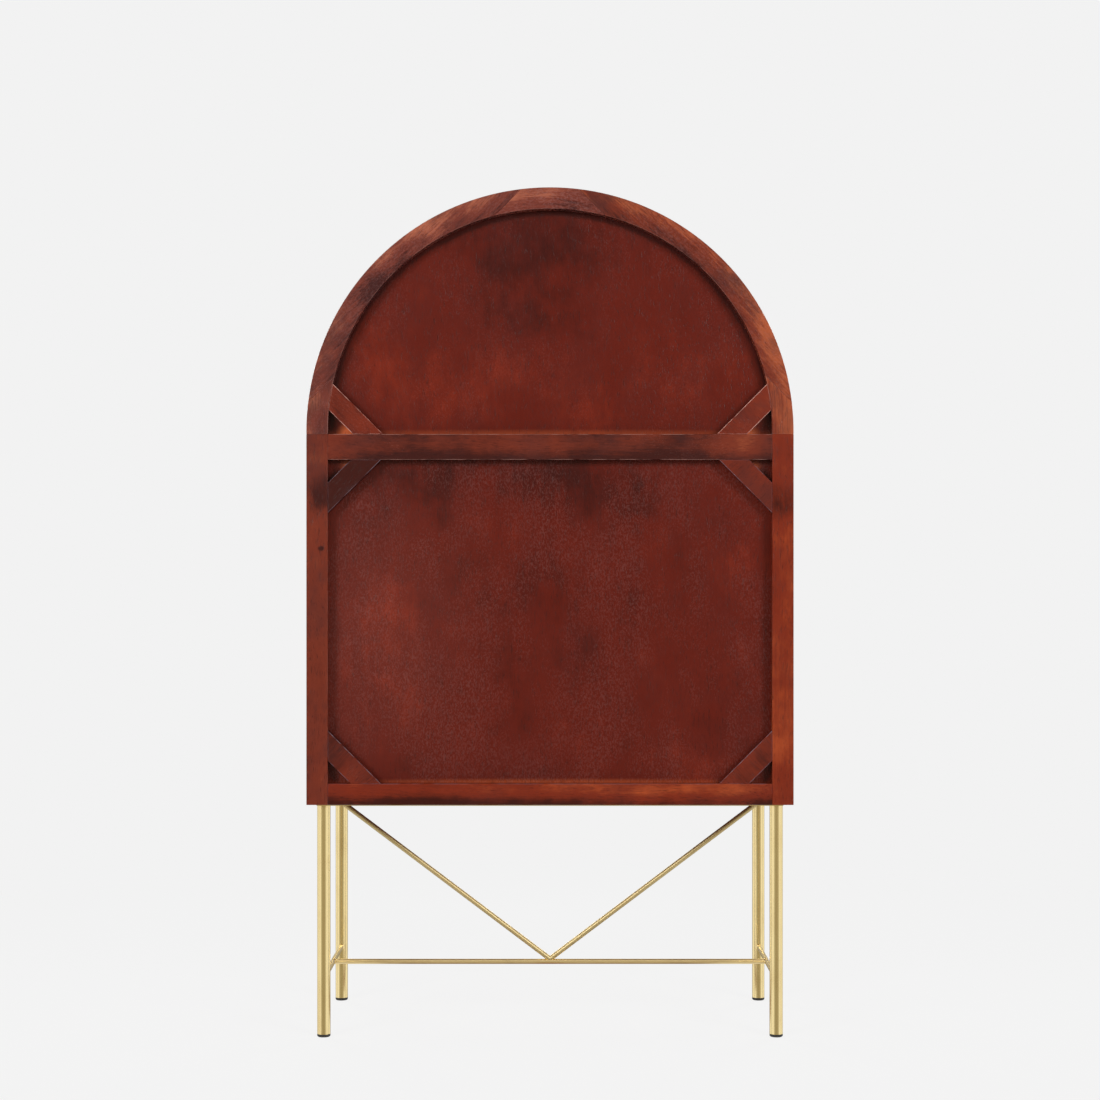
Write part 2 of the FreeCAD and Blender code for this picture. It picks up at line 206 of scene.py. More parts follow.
# The sockets of the wood group, and the kind of each.
WOOD_INPUTS = {"Vector": "Vector", "Seed": "Float", "Tone": "Float", "Figure": "Float",
               "Smoke": "Float", "Flecks": "Float", "Wear": "Float", "Bare": "Float",
               "Deep": "Color", "Middle": "Color", "Light": "Color", "Worn": "Color"}
WOOD_OUTPUTS = {"Color": "Color", "Roughness": "Float", "Height": "Float"}


def make_wood_group():
    """Stained hardwood. The vector runs in metres, with X along the grain."""
    seed_step = (3.71, 1.93, 2.57)
    sway_reach, crinkle_reach = 0.075, 0.011
    cloud_share, patch_share, mottle_share = 0.62, 0.40, 0.34
    deep_shade, middle_shade, light_shade = 0.1, 0.5, 0.92
    pore_share, fleck_and_glint_share = 0.45, 0.13

    group = bpy.data.node_groups.new("stained_wood", "ShaderNodeTree")
    for direction, sockets in (("INPUT", WOOD_INPUTS), ("OUTPUT", WOOD_OUTPUTS)):
        for name, kind in sockets.items():
            group.interface.new_socket(name, in_out=direction, socket_type="NodeSocket" + kind)
    given = add_node(group, "NodeGroupInput").outputs

    # Each piece has its own stretch of the noise, and the grain sways within it.
    offset = vector_maths(group, "MULTIPLY", given["Seed"], seed_step)
    plain = vector_maths(group, "ADD", given["Vector"], offset)
    sway = centred(group, noise(group, plain, (2.2, 5.0, 5.0), 1.0))
    sway = maths(group, "MULTIPLY", sway, sway_reach)
    grain = vector_maths(group, "ADD", plain, join_axes(group, Y=sway, Z=sway))

    # The stain: clouds and patches of it, and the figure of the wood under it.
    clouds = noise(group, plain, (8.0, 9.5, 9.5), 4.0, 0.55)
    patches = noise(group, plain, (2.6, 3.4, 3.4), 1.0)
    mottle = noise(group, plain, (26.0, 40.0, 40.0), 3.0, 0.6)
    bands = noise(group, grain, (1.6, 34.0, 34.0), 3.0, 0.6)
    lines = noise(group, grain, (6.0, 240.0, 240.0), 2.0, 0.6)
    fibres = noise(group, grain, (40.0, 1100.0, 1100.0), 2.0, 0.6)
    figure = maths(group, "ADD", bands, maths(group, "ADD", lines, fibres))
    figure = maths(group, "MULTIPLY", figure, 1 / 3)
    shade = weighted_sum(group, maths(group, "ADD", given["Tone"], middle_shade),
                         (centred(group, clouds), cloud_share), (centred(group, patches), patch_share),
                         (centred(group, mottle), mottle_share), (centred(group, figure), given["Figure"]))
    deeper = between(group, shade, deep_shade, middle_shade)
    colour = mix_colour(group, deeper, given["Deep"], given["Middle"])
    lighter = between(group, shade, middle_shade, light_shade)
    colour = mix_colour(group, lighter, colour, given["Light"])

    drift = noise(group, plain, (9.0, 13.0, 13.0), 5.0, 0.62)
    smoke = maths(group, "MULTIPLY", between(group, drift, 0.42, 0.68), given["Smoke"])
    colour = mix_colour(group, smoke, colour, SMOKY_STAIN)

    # Painted light bounced off the rails, partly bare wood, where the piece's marks put it.
    bare_and_lit = maths(group, "MULTIPLY", given["Bare"], between(group, mottle, 0.1, 0.45))
    colour = mix_colour(group, bare_and_lit, colour, BARE_AND_LIT_WOOD)

    # Open pores along the grain, and short crinkled pale specks in them, partly chalk, partly painted
    # glints.
    pores = between(group, noise(group, grain, (60.0, 620.0, 620.0), 1.0), 0.60, 0.72)
    colour = mix_colour(group, maths(group, "MULTIPLY", pores, pore_share), colour, DARK_PORE)
    crinkle = centred(group, noise(group, plain, (90.0, 90.0, 90.0), 1.0))
    crinkle = maths(group, "MULTIPLY", crinkle, crinkle_reach)
    wavy = vector_maths(group, "ADD", grain, join_axes(group, Y=crinkle, Z=crinkle))
    dashes = noise(group, wavy, (170.0, 430.0, 430.0), 2.0, 0.6)
    region = between(group, noise(group, plain, (6.0, 11.0, 11.0), 2.0), 0.30, 0.62)
    flecks_and_glints = maths(group, "MULTIPLY", between(group, dashes, 0.44, 0.70), region)
    flecks_and_glints = maths(group, "MULTIPLY", flecks_and_glints, given["Flecks"])
    colour = mix_colour(group, maths(group, "MULTIPLY", flecks_and_glints, fleck_and_glint_share), colour, CHALKY_PORE_AND_GLINT)

    # Worn edges take a colour that is partly a painted highlight and reflection.
    rubbed = between(group, noise(group, plain, (24.0, 60.0, 60.0), 3.0, 0.6), 0.34, 0.58)
    rubbed = maths(group, "MULTIPLY", rubbed, given["Wear"])
    colour = mix_colour(group, rubbed, colour, given["Worn"])

    roughness = weighted_sum(group, 0.20, (clouds, 0.10), (flecks_and_glints, 0.12))
    height = weighted_sum(group, 0.0, (lines, 0.5), (pores, -0.8), (flecks_and_glints, -0.6), (fibres, 0.25))
    output = add_node(group, "NodeGroupOutput")
    for socket, value in zip(output.inputs, (colour, roughness, height)):
        group.links.new(value, socket)
    return group


WOOD_GROUP = make_wood_group()

# Turns that bring the grain of a piece to the X axis, as Euler angles. Around the arch there is none.
ALONG_X = (0, 0, 0)
ALONG_Y = (0, 0, -math.pi / 2)
ALONG_Z = (0, math.pi / 2, 0)
RISING_LEFT = (0, math.pi / 4 * 3, 0)
RISING_RIGHT = (0, math.pi / 4, 0)
AROUND_ARCH = None


def grain_vector(tree, turn):
    """The place on a piece, turned or rolled out so that X runs along its grain."""
    if turn is not AROUND_ARCH:
        inputs = {"Vector": place_on_piece(tree), "Rotation": turn}
        return add_node(tree, "ShaderNodeVectorRotate", inputs, rotation_type="EULER_XYZ").outputs[0]
    axes = split_axes(tree, place_in_arch(tree))
    angle = maths(tree, "ARCTAN2", axes["X"], axes["Z"])
    run = maths(tree, "MULTIPLY", angle, RING_OUTER)
    radius = length(tree, join_axes(tree, X=axes["X"], Z=axes["Z"]))
    return join_axes(tree, X=run, Y=axes["Y"], Z=radius)


def mark_field(tree, marks):
    """Adds up soft oval marks. Each is x, z, half width, half height and strength, seen from the back."""
    place = place_on_piece(tree)
    terms = []
    for x, z, half_width, half_height, strength in marks:
        moved = vector_maths(tree, "SUBTRACT", place, (x, 0, z))
        scaled = vector_maths(tree, "MULTIPLY", moved, (1 / half_width, 0, 1 / half_height))
        terms.append((between(tree, length(tree, scaled), 1.0, 0.0), strength))
    return weighted_sum(tree, 0.0, *terms)


def ring_field(tree, start, end):
    """0 to 1 between two distances from the middle of the arch, as seen from the back."""
    flat = vector_maths(tree, "MULTIPLY", place_in_arch(tree), (1, 0, 1))
    return between(tree, length(tree, flat), start, end)


def wood_material(piece, ending, look, seed, wear_and_sheen, gloss):
    """Wood in its own stain, with the piece's marks on what shows from the back.

    Edges that are worn, partly a painted highlight, fade out where another piece meets them.
    """
    wear_gap, mark_fade = 0.005, 0.003
    # worn is the colour of the rounded edges, partly a painted highlight.
    turn, (deep, middle, light), tone, figure, smoke, flecks_and_glints, worn = look
    material, tree = new_material(piece + ending)
    if wear_and_sheen:
        inputs = {"Distance": wear_gap}
        near = add_node(tree, "ShaderNodeAmbientOcclusion", inputs, samples=16).outputs["AO"]
        wear_and_sheen = maths(tree, "MULTIPLY", between(tree, near, 0.9, 1.0), wear_and_sheen)
    depth = split_axes(tree, place_on_piece(tree))["Y"]
    outside = between(tree, depth, PANEL_FRONT, PANEL_FRONT + mark_fade)
    # Stain marks, with painted shade along the bottom edges of the rails.
    if piece in STAIN_AND_SHADE_MARKS:
        tone = weighted_sum(tree, tone, (mark_field(tree, STAIN_AND_SHADE_MARKS[piece]), outside))
    # On the upper panel this tone is a painted shadow along the planks.
    if piece in RINGS:
        start, end, strength = RINGS[piece]
        ring = maths(tree, "MULTIPLY", ring_field(tree, start, end), outside)
        tone = weighted_sum(tree, tone, (ring, strength))
    # Lighter wood from the marks: painted bounce light, partly bare wood.
    bare_and_lit = 0.0
    if piece in BARE_AND_PAINTED_LIGHT:
        bare_and_lit = maths(tree, "MULTIPLY", mark_field(tree, BARE_AND_PAINTED_LIGHT[piece]), outside)
    inputs = {"Vector": grain_vector(tree, turn), "Seed": seed, "Tone": tone, "Figure": figure,
              "Smoke": smoke, "Flecks": flecks_and_glints, "Wear": wear_and_sheen, "Bare": bare_and_lit,
              "Deep": deep, "Middle": middle, "Light": light, "Worn": worn}
    wood = add_node(tree, "ShaderNodeGroup", inputs, node_tree=WOOD_GROUP).outputs
    colour = wood["Color"]
    if piece in VEILS:
        veil = maths(tree, "MULTIPLY", mark_field(tree, VEILS[piece]), outside)
        colour = mix_colour(tree, veil, colour, PALE_WEAR_AND_HIGHLIGHT)
    finish_tree(tree, bumpy_surface(tree, colour, wood["Roughness"], wood["Height"],
                                    strength=0.35, depth=0.0003, specular=gloss))
    return material


# Metals and plastics

def metal_material(name, colour, dark, roughness, turn=ALONG_Z, tints=(), brush=0.15, speckle=0.3):
    """Satin metal with fine brush lines along the piece, faint tarnish and small rubbed spots."""
    tarnish_share = 0.55
    material, tree = new_material(name)
    vector = grain_vector(tree, turn)
    tarnish = noise(tree, vector, (14.0, 26.0, 26.0), 4.0, 0.6)
    lines = noise(tree, vector, (18.0, 1500.0, 1500.0), 2.0, 0.6)
    spots = noise(tree, vector, (420.0, 420.0, 420.0), 2.0)
    shade = weighted_sum(tree, 0.0, (between(tree, tarnish, 0.45, 0.8), tarnish_share),
                         (between(tree, spots, 0.66, 0.76), speckle))
    base = mix_colour(tree, shade, colour, dark)
    if tints:
        base = mix_colour(tree, mark_field(tree, tints), base, HEAT_TINT)
    roughness = weighted_sum(tree, roughness, (tarnish, 0.14), (lines, 0.08))
    finish_tree(tree, bumpy_surface(tree, base, roughness, lines,
                                    strength=brush, depth=0.0001, metallic=1.0))
    return material


def plastic_material(name, colour, worn):
    """Moulded plastic with a fine grain and lighter scuffs."""
    material, tree = new_material(name)
    place = place_on_piece(tree)
    grain = noise(tree, place, (900.0, 900.0, 900.0), 2.0)
    scuffs = noise(tree, place, (90.0, 90.0, 160.0), 3.0, 0.6)
    base = mix_colour(tree, between(tree, scuffs, 0.5, 0.75), colour, worn)
    roughness = weighted_sum(tree, 0.45, (scuffs, 0.2))
    finish_tree(tree, bumpy_surface(tree, base, roughness, grain, strength=0.4, depth=0.0002))
    return material


STAND_GOLD = (0.94, 0.76, 0.39, 1)
STAND_DULL = (0.72, 0.53, 0.24, 1)
# The rods take darker copies of the stand's brass: painted shade.
SHADED_ROD_GOLD = (0.84, 0.66, 0.34, 1)
SHADED_SLANTING_GOLD = (0.54, 0.43, 0.22, 1)
SHADED_ROD_DULL = (0.50, 0.36, 0.17, 1)
HEAT_TINT = (0.62, 0.26, 0.05, 1)
FITTING_GOLD = (0.66, 0.47, 0.19, 1)
FITTING_DULL = (0.36, 0.23, 0.09, 1)

# Where the middle of the long stretcher was heated, as a mark.
BRAZED_MIDDLE = (0, 0.105, 0.06, 0.006, 0.8)

brass_upright = metal_material("brass_upright", STAND_GOLD, STAND_DULL, 0.12)
brass_across = metal_material("brass_across", STAND_GOLD, STAND_DULL, 0.12, ALONG_X)
brass_brazed = metal_material("brass_brazed", SHADED_ROD_GOLD, SHADED_ROD_DULL, 0.2, ALONG_X, [BRAZED_MIDDLE],
                              brush=0.0, speckle=0.0)
brass_inward = metal_material("brass_inward", SHADED_SLANTING_GOLD, SHADED_ROD_DULL, 0.2, ALONG_Y,
                              brush=0.0, speckle=0.0)
brass_fitting = metal_material("brass_fitting", FITTING_GOLD, FITTING_DULL, 0.22)
steel = metal_material("zinc_steel", srgb(190, 188, 182), srgb(120, 118, 112), 0.3)
glide_black = plastic_material("glide_black", srgb(30, 28, 26), srgb(62, 58, 54))
catch_brown = plastic_material("catch_brown", srgb(58, 34, 26), srgb(88, 60, 48))
# A dark sheet in each screw slot: painted shade.
slot_dark = plastic_material("slot_dark", srgb(34, 24, 14), srgb(60, 44, 26))


# Wooden pieces of the imported model

# Grain, stain, tone (deeper below 0), figure, smoky patches, chalky specks that are partly painted glints,
# the colour of worn edges, which is partly a painted highlight, and how worn they are.
# A name without left or right stands for both.
WOOD = {
    "rear_stile_left": (ALONG_Z, RED_STAIN, 0.11, 0.6, 0.15, 0.1, PALE_WEAR_AND_HIGHLIGHT, 0.05),
    "rear_stile_right": (ALONG_Z, FRAME_STAIN, -0.01, 0.6, 0.5, 0.1, PALE_WEAR_AND_HIGHLIGHT, 0.1),
    "rear_arch_foot_left": (ALONG_Z, FRAME_STAIN, 0.20, 1.5, 0.3, 0.5, PALE_WEAR_AND_HIGHLIGHT, 0.3),
    "rear_arch_foot_right": (ALONG_Z, ARCH_STAIN, -0.08, 1.5, 0.7, 0.5, PALE_WEAR_AND_HIGHLIGHT, 0.3),
    "rear_arch_quarter_left": (RISING_RIGHT, FRAME_STAIN, -0.14, 1.8, 0.7, 0.9, PALE_WEAR_AND_HIGHLIGHT, 0.15),
    "rear_arch_quarter_right": (RISING_LEFT, ARCH_STAIN, -0.20, 1.8, 0.8, 1.0, PALE_WEAR_AND_HIGHLIGHT, 0.15),
    "rear_arch_crown": (ALONG_X, ARCH_STAIN, -0.12, 1.6, 0.4, 1.8, PALE_WEAR_AND_HIGHLIGHT, 0.15),
    "rear_mid_rail": (ALONG_X, FRAME_STAIN, -0.155, 0.6, 0.4, 0.2, PALE_WEAR_AND_HIGHLIGHT, 0.35),
    "rear_bottom_rail": (ALONG_X, RED_STAIN, 0.06, 0.6, 0.2, 0.1, GREY_WEAR_AND_REFLECTION, 0.5),
    "corner_brace_upper_left": (RISING_RIGHT, BRACE_STAIN, 0.02, 0.6, 0.5, 0.3, PALE_WEAR_AND_HIGHLIGHT, 1.0),
    "corner_brace_upper_right": (RISING_RIGHT, BRACE_STAIN, -0.09, 0.6, 0.5, 0.3, PALE_WEAR_AND_HIGHLIGHT, 1.0),
    "corner_brace_middle_left": (RISING_LEFT, BRACE_STAIN, 0.01, 0.6, 0.5, 0.1, GREY_WEAR_AND_REFLECTION, 0.8),
    "corner_brace_middle_right": (RISING_LEFT, BRACE_STAIN, -0.48, 0.6, 1.0, 0.1, GREY_WEAR_AND_REFLECTION, 0.8),
    "corner_brace_bottom_left": (RISING_RIGHT, BRACE_STAIN, -0.06, 0.6, 0.3, 0.1, GREY_WEAR_AND_REFLECTION, 1.0),
    "corner_brace_bottom_right": (RISING_LEFT, BRACE_STAIN, -0.26, 0.6, 0.3, 0.1, GREY_WEAR_AND_REFLECTION, 1.0),
    "back_panel_upper": (ALONG_Z, PANEL_STAIN, 0.02, 0.35, 0.12, 0.3, PALE_WEAR_AND_HIGHLIGHT, 0.2),
    "back_panel_lower": (ALONG_Z, PANEL_STAIN, 0.02, 0.45, 0.1, 1.0, PALE_WEAR_AND_HIGHLIGHT, 0.2),
    "arch_shell": (AROUND_ARCH, FRAME_STAIN, -0.03, 1.5, 0.4, 0.1, PALE_WEAR_AND_HIGHLIGHT, 0.4),
    "side_panel": (ALONG_Z, FRAME_STAIN, -0.03, 0.6, 0.4, 0.1, PALE_WEAR_AND_HIGHLIGHT, 0.4),
    "bottom_panel": (ALONG_X, FRAME_STAIN, -0.05, 0.6, 0.4, 0.0, PALE_WEAR_AND_HIGHLIGHT, 0.3),
    "mid_shelf": (ALONG_X, FRAME_STAIN, 0.0, 0.6, 0.4, 0.0, PALE_WEAR_AND_HIGHLIGHT, 0.5),
    "lower_shelf": (ALONG_X, FRAME_STAIN, 0.0, 0.6, 0.4, 0.0, PALE_WEAR_AND_HIGHLIGHT, 0.5),
    "stemware_rails": (ALONG_Y, FRAME_STAIN, -0.05, 0.6, 0.4, 0.0, PALE_WEAR_AND_HIGHLIGHT, 0.4),
    "front_stile": (ALONG_Z, FRAME_STAIN, 0.05, 0.6, 0.4, 0.1, PALE_WEAR_AND_HIGHLIGHT, 0.4),
    "front_arch_left": (RISING_RIGHT, FRAME_STAIN, 0.05, 1.5, 0.4, 0.4, PALE_WEAR_AND_HIGHLIGHT, 0.3),
    "front_arch_right": (RISING_LEFT, FRAME_STAIN, 0.05, 1.5, 0.4, 0.4, PALE_WEAR_AND_HIGHLIGHT, 0.3),
    "front_arch_crown": (ALONG_X, FRAME_STAIN, 0.07, 1.5, 0.4, 0.4, PALE_WEAR_AND_HIGHLIGHT, 0.3),
    "front_bottom_rail": (ALONG_X, FRAME_STAIN, 0.05, 0.6, 0.4, 0.1, PALE_WEAR_AND_HIGHLIGHT, 0.4),
    "door_hinge_stile": (ALONG_Z, FRAME_STAIN, 0.0, 0.6, 0.4, 0.1, PALE_WEAR_AND_HIGHLIGHT, 0.4),
    "door_meeting_stile": (ALONG_Z, FRAME_STAIN, 0.02, 0.6, 0.4, 0.1, PALE_WEAR_AND_HIGHLIGHT, 0.5),
    "door_arch_rail_left": (RISING_RIGHT, FRAME_STAIN, 0.02, 1.5, 0.4, 0.3, PALE_WEAR_AND_HIGHLIGHT, 0.4),
    "door_arch_rail_right": (RISING_LEFT, FRAME_STAIN, 0.02, 1.5, 0.4, 0.3, PALE_WEAR_AND_HIGHLIGHT, 0.4),
    "door_bottom_rail": (ALONG_X, FRAME_STAIN, 0.0, 0.6, 0.4, 0.1, PALE_WEAR_AND_HIGHLIGHT, 0.4),
    "door_panel": (ALONG_Z, PANEL_STAIN, 0.02, 0.6, 0.4, 0.4, PALE_WEAR_AND_HIGHLIGHT, 0.2),
}

# Darker (below 0) and lighter places that the stain took on, as x, z, half width, half height, strength.
# The long bands along the bottom edges of the two rails are painted shade.
STAIN_AND_SHADE_MARKS = {
    "back_panel_upper": [(0.01, 1.50, 0.28, 0.12, -0.24), (0.03, 1.35, 0.17, 0.08, -0.20),
                         (0.33, 1.27, 0.10, 0.12, 0.26), (0.20, 1.24, 0.15, 0.08, 0.12),
                         (-0.30, 1.35, 0.12, 0.12, -0.10), (0.14, 1.43, 0.10, 0.10, -0.12),
                         (-0.25, 1.42, 0.10, 0.10, -0.08), (0.20, 1.37, 0.13, 0.08, -0.13),
                         (-0.08, 1.29, 0.11, 0.07, -0.08)],
    "back_panel_lower": [(-0.17, 0.99, 0.20, 0.09, -0.10), (0.24, 1.03, 0.18, 0.09, -0.06),
                         (-0.35, 0.97, 0.08, 0.07, -0.12), (0.32, 0.76, 0.13, 0.26, 0.12),
                         (-0.28, 0.88, 0.16, 0.12, 0.08), (-0.34, 0.60, 0.12, 0.12, -0.10),
                         (-0.15, 0.63, 0.14, 0.10, -0.06), (0.0, 1.08, 0.50, 0.13, -0.27),
                         (-0.15, 0.82, 0.24, 0.36, -0.06)],
    "rear_stile_right": [(0.44, 1.09, 0.05, 0.04, 0.16), (0.43, 0.93, 0.05, 0.05, -0.10),
                         (0.43, 1.02, 0.06, 0.075, -0.32), (0.43, 0.922, 0.009, 0.007, -0.5)],
    "rear_stile_left": [(-0.43, 1.01, 0.06, 0.07, -0.30), (-0.43, 1.11, 0.06, 0.06, -0.26),
                        (-0.43, 0.60, 0.06, 0.20, 0.08), (-0.44, 0.63, 0.06, 0.09, -0.12),
                        (-0.44, 0.80, 0.06, 0.12, 0.08)],
    "rear_arch_quarter_right": [(0.35, 1.41, 0.09, 0.07, -0.25), (0.09, 1.56, 0.03, 0.05, -0.12),
                                (0.22, 1.52, 0.12, 0.09, 0.20)],
    "rear_arch_quarter_left": [(-0.41, 1.30, 0.06, 0.12, 0.30), (-0.27, 1.487, 0.09, 0.08, -0.18)],
    "rear_arch_crown": [(-0.05, 1.58, 0.06, 0.05, -0.12)],
    "rear_arch_foot_right": [(0.44, 1.20, 0.05, 0.03, 0.16), (0.43, 1.16, 0.04, 0.03, -0.12)],
    "rear_mid_rail": [(-0.21, 1.11, 0.10, 0.05, -0.16), (0.13, 1.11, 0.07, 0.05, 0.12),
                      (-0.37, 1.11, 0.10, 0.10, 0.30), (0.41, 1.11, 0.08, 0.10, 0.26),
                      # The last mark darkens the rail towards its bottom edge: painted shade.
                      (0.27, 1.11, 0.08, 0.05, -0.10), (0.0, rail_low.z, 1.50, 0.026, -0.26)],
    "rear_bottom_rail": [(-0.25, 0.46, 0.22, 0.08, 0.20), (-0.34, 0.46, 0.06, 0.08, 0.10),
                         (0.41, 0.46, 0.05, 0.05, -0.12), (0.30, 0.46, 0.20, 0.08, -0.10),
                         # The last mark darkens the rail towards its bottom edge: painted shade.
                         (0.0, 0.44, 1.50, 0.030, -0.45)],
    "corner_brace_upper_right": [(0.33, 1.16, 0.04, 0.04, 0.10)],
}

# Thin places of lighter wood: along the tops of the rails it is painted light, as if bounced off the
# rails, and in the small corners by the stiles it is partly painted light and partly bare wood.
BARE_AND_PAINTED_LIGHT = {
    "back_panel_upper": [(0.0, rail_high.z + 0.002, 0.75, 0.011, 0.20),
                         (0.370, rail_high.z + 0.002, 0.040, 0.028, 1.7),
                         (-0.366, rail_high.z + 0.002, 0.036, 0.024, 1.0)],
    "back_panel_lower": [(0.0, SILL_TOP, 0.60, 0.010, 0.3),
                         (0.376, rail_low.z - 0.010, 0.026, 0.020, 0.7),
                         (-0.378, rail_low.z - 0.010, 0.026, 0.020, 0.7)],
}

# Places where the finish has a faint chalky veil.
VEILS = {
    "back_panel_lower": [(0.36, 0.78, 0.34, 0.44, 0.022)],
}

# Tone that changes with the distance from the middle of the arch, from, to and by how much:
# the planks are darker towards the panel, and the panel has a painted shadow where it meets them.
RINGS = {
    "back_panel_upper": (RING_INNER - 0.014, RING_INNER, -0.45),
    "rear_arch_crown": (RING_INNER, RING_OUTER, 0.36),
    "rear_arch_quarter_left": (RING_INNER, RING_OUTER, 0.34),
    "rear_arch_quarter_right": (RING_INNER, RING_OUTER, 0.34),
    "rear_arch_foot_left": (RING_INNER, RING_OUTER, 0.16),
    "rear_arch_foot_right": (RING_INNER, RING_OUTER, 0.16),
}


def soften_edges(piece):
    """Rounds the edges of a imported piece, and gives the rounding the piece's second material.

    Faces that are all but flat to each other become one first, so that only real edges are rounded.
    """
    weld_gap, edge_round, flat_angle, edge_angle = 0.00001, 0.0009, 0.5, 40
    weld = piece.modifiers.new("weld", "WELD")
    weld.merge_threshold = weld_gap
    flat = piece.modifiers.new("flat_faces", "DECIMATE")
    flat.decimate_type = "DISSOLVE"
    flat.angle_limit = math.radians(flat_angle)
    bevel = piece.modifiers.new("soft_edges", "BEVEL")
    bevel.width = edge_round
    bevel.segments = 2
    bevel.limit_method = "ANGLE"
    bevel.angle_limit = math.radians(edge_angle)
    bevel.material = 1
    bevel.harden_normals = False
    normals = piece.modifiers.new("normals", "WEIGHTED_NORMAL")
    normals.keep_sharp = True


def dress_wood():
    """Gives each wooden piece its grain and stain, and its rounded edges a worn look with painted
    highlight.
    """
    face_gloss, edge_gloss = 0.22, 0.04
    seed, seed_gap = 1.0, 1.37
    for name in sorted(NODES):
        key = name if name in WOOD else name.rsplit("_", 1)[0]
        if key not in WOOD:
            continue
        *look, wear_and_sheen = WOOD[key]
        seed += seed_gap
        piece = NODES[name]
        piece.data.materials.clear()
        for ending, rubbed, gloss in (("", 0.0, face_gloss), ("_edge", wear_and_sheen, edge_gloss)):
            piece.data.materials.append(wood_material(name, ending, look, seed, rubbed, gloss))
        soften_edges(piece)


def dress_metal():
    """Gives the metal and plastic pieces their materials, by the start of their names."""
    looks = {
        "leg_": brass_upright, "side_stretchers": brass_inward, "long_stretcher": brass_brazed,
        "v_brace_rods": brass_across, "stand_top_bars": brass_across, "hinge_": brass_fitting,
        "door_hinge_leaves": brass_fitting, "door_knob": brass_fitting, "shelf_pins": brass_fitting,
        "stand_screws": steel, "strike_plate": steel, "foot_glides": glide_black,
        "magnetic_catches": catch_brown,
    }
    for name, piece in NODES.items():
        for start, material in looks.items():
            if name.startswith(start):
                piece.data.materials.clear()
                piece.data.materials.append(material)


# Pieces made here

def along_axis(base, axis):
    """The placing of a form that is made along Z, so that it starts at base and runs along an axis."""
    return Matrix.Translation(base) @ axis.to_track_quat("Z", "Y").to_matrix().to_4x4()


def lathe(bm, profile, base, axis, segments):
    """Adds a turned form, from (radius, run) points along an axis that starts at base."""
    place = along_axis(base, axis)
    rings = []
    for radius, run in profile:
        ring = []
        for index in range(segments if radius else 1):
            angle = math.tau * index / segments
            point = Vector((radius * math.cos(angle), radius * math.sin(angle), run))
            ring.append(bm.verts.new(place @ point))
        rings.append(ring)
    for lower, upper in zip(rings, rings[1:]):
        for index in range(segments):
            after = (index + 1) % segments
            corners = [lower[index % len(lower)], lower[after % len(lower)],
                       upper[after % len(upper)], upper[index % len(upper)]]
            bm.faces.new(list(dict.fromkeys(corners)))


def rounded(points):
    """A smooth curve through the points of a profile, each stretch bent by its neighbours."""
    steps = 4
    ends = [points[0]] + points + [points[-1]]
    curve = [points[0]]
    for before, start, end, after in zip(ends, ends[1:], ends[2:], ends[3:]):
        for step in range(1, steps + 1):
            t = step / steps
            curve.append(tuple(
                start[i] + 0.5 * t * (end[i] - before[i] + t * (
                    2 * before[i] - 5 * start[i] + 4 * end[i] - after[i] + t * (
                        3 * (start[i] - end[i]) + after[i] - before[i])))
                for i in (0, 1)))
    return curve


def make_piece(name, bm, material, body, replaced=()):
    """Turns a mesh into a smooth piece that rides on a body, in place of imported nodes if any."""
    sharp_angle = 35
    bmesh.ops.recalc_face_normals(bm, faces=bm.faces)
    for face in bm.faces:
        face.smooth = True
    for edge in bm.edges:
        edge.smooth = edge.calc_face_angle(0) < math.radians(sharp_angle)
    mesh = bpy.data.meshes.new(name)
    bm.to_mesh(mesh)
    bm.free()
    mesh.materials.append(material)
    piece = bpy.data.objects.new(name, mesh)
    bpy.context.scene.collection.objects.link(piece)
    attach(piece, body)
    if replaced:
        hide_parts(*replaced)
    return piece


# Knob profile, as shares of the knob's radius and of how far it stands out.
KNOB_ROSE = [(0.93, 0.0), (0.93, 0.055), (0.88, 0.085), (0.60, 0.105), (0.42, 0.15)]
KNOB_STEM = [(0.42, 0.15), (0.37, 0.24), (0.36, 0.38), (0.45, 0.52), (0.66, 0.64), (0.92, 0.73),
             (0.995, 0.80), (0.98, 0.875), (0.84, 0.945), (0.52, 0.99), (0.2, 1.0), (0.0, 1.0)]


def make_knobs():
    """Turned knobs with a domed head, in place of the plainer ones."""
    for side in ("left", "right"):
        low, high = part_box("door_knob_" + side)
        radius = (high.x - low.x) / 2
        reach = high.y - low.y
        profile = [(0.0, 0.0)] + rounded(KNOB_ROSE) + rounded(KNOB_STEM)[1:]
        bm = bmesh.new()
        base = Vector(((low.x + high.x) / 2, high.y, (low.z + high.z) / 2))
        profile = [(radius * out, reach * min(run, 1)) for out, run in profile]
        lathe(bm, profile, base, Vector((0, -1, 0)), segments=64)
        make_piece("turned_knob_" + side, bm, brass_fitting, "door_" + side,
                   ["door_knob_" + side])


def make_legs():
    """Round legs with a slightly eased rim, in place of the coarser tubes."""
    wall = 0.0015
    rim = 0.0004
    for place in ("front", "rear"):
        for side in ("left", "right"):
            name = "leg_" + place + "_" + side
            low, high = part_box(name)
            radius = (high.x - low.x) / 2
            height = high.z - low.z
            bm = bmesh.new()
            profile = [(radius - wall, height), (radius - wall, 0), (radius - rim, 0), (radius, rim),
                       (radius, height - rim), (radius - rim, height), (radius - wall, height)]
            lathe(bm, profile, Vector(((low.x + high.x) / 2, (low.y + high.y) / 2, low.z)),
                  Vector((0, 0, 1)), segments=64)
            make_piece(name + "_tube", bm, brass_upright, "root", [name])


